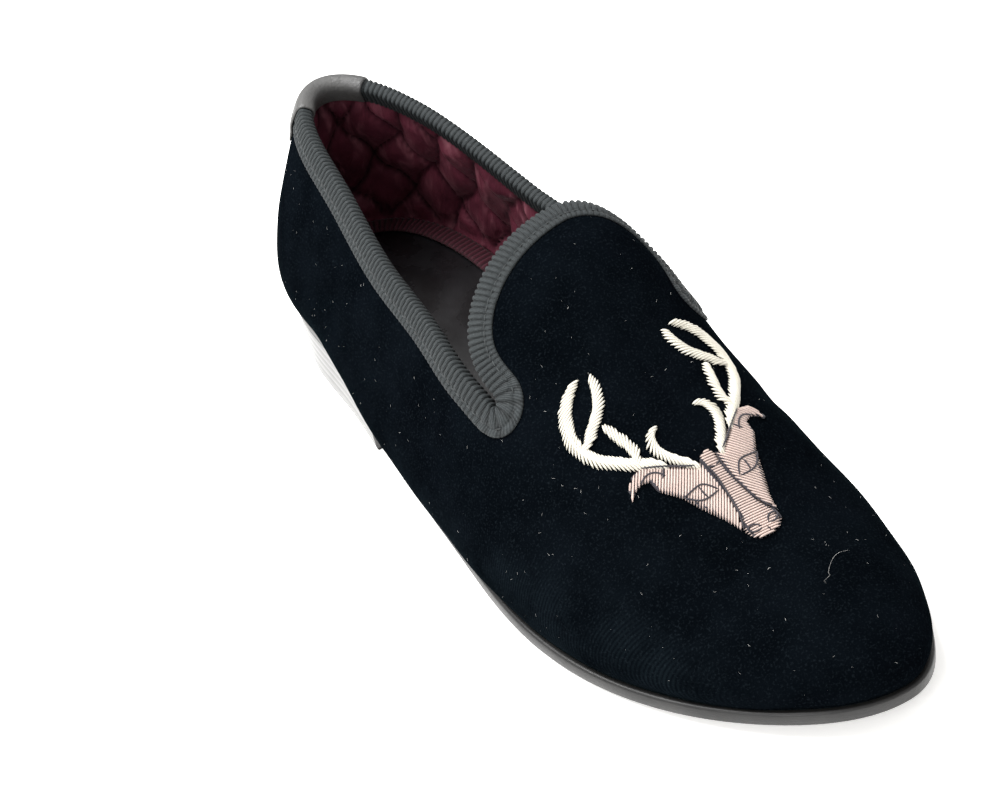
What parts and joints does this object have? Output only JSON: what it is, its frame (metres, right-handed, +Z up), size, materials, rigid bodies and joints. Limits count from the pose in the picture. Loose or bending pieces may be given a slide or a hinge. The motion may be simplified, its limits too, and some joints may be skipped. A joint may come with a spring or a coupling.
{
  "type": "slipper loafer",
  "caption": "Right slipper loafer: hollow velvet upper with rounded tongue, ribbon-bound topline, heel tab and embroidered stag on the vamp, on a thin leather sole with a low stacked heel.",
  "frame": {"origin": "on the floor, under the middle of the shoe's box", "axes": "+Z up, -Y to the toe, +Y to the heel, +X to the inner side of the foot"},
  "size_m": [0.108, 0.3048, 0.1008],
  "materials": {
    "sole_leather": "burnished",
    "heel_leather": "burnished",
    "insole_leather": "smooth",
    "lining_ribbon": "ribbed",
    "velvet": "pile",
    "grosgrain": "ribbed",
    "tab_leather": "smooth",
    "head_thread": "satin thread",
    "antler_thread": "satin thread"
  },
  "bodies": {
    "root": {"outsole": "sole_leather", "heel": "heel_leather", "insole": "insole_leather", "insole_edging": "lining_ribbon", "upper": "velvet", "collar_binding": "grosgrain", "heel_tab": "tab_leather", "stag_head": "head_thread", "stag_antler_left": "antler_thread", "stag_antler_right": "antler_thread"}
  },
  "joints": []
}
